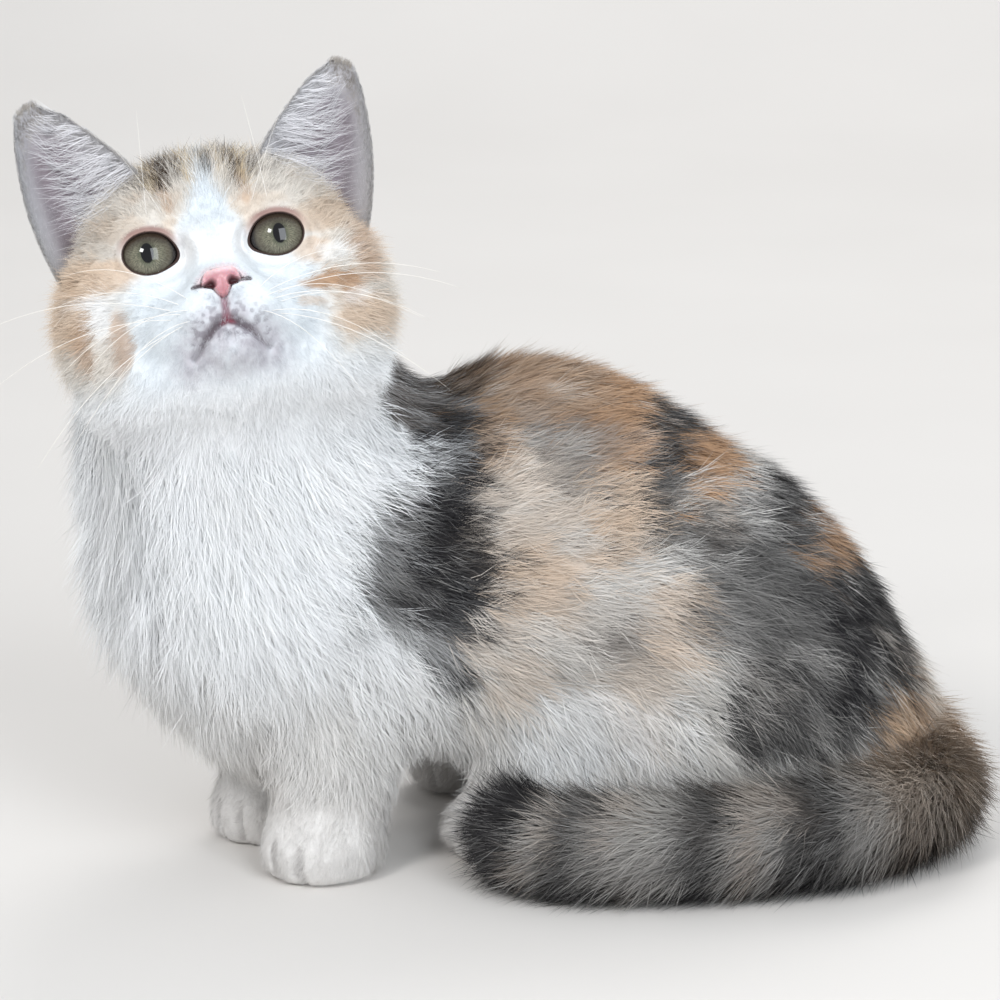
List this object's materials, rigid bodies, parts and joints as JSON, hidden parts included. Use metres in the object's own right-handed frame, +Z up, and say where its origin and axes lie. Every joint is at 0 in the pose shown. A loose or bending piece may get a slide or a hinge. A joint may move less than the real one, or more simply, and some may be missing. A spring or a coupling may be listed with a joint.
{
  "type": "munchkin cat, sitting",
  "caption": "Still life-size model of a short-legged munchkin kitten that sits with its paws together, its face turned to one side and its tail laid round it.",
  "frame": {"origin": "on the floor under the middle of the box round the whole cat", "axes": "+Z up; +X towards the rump; -Y towards the cat's left side and the way its face looks"},
  "size_m": [0.2514, 0.1425, 0.2094],
  "materials": {
    "white_coat": "short soft fur",
    "face_coat": "very short soft fur",
    "patched_coat": "short soft fur",
    "tail_coat": "longer loose fur",
    "nose_leather": "fine-grained, moist",
    "eye": "wet and clear"
  },
  "bodies": {
    "root": {"head": "face_coat", "jaw": "white_coat", "nose": "nose_leather", "eye_left": "eye", "eye_right": "eye", "ear_left": "face_coat", "ear_right": "face_coat", "neck": "white_coat", "chest": "white_coat", "trunk": "patched_coat", "rump": "patched_coat", "thigh_left": "patched_coat", "thigh_right": "patched_coat", "foreleg_left": "white_coat", "foreleg_right": "white_coat", "forepaw_left": "white_coat", "forepaw_right": "white_coat", "hindfoot_left": "white_coat", "hindfoot_right": "white_coat", "tail_base": "tail_coat", "tail_middle": "tail_coat", "tail_tip": "tail_coat"}
  },
  "joints": []
}
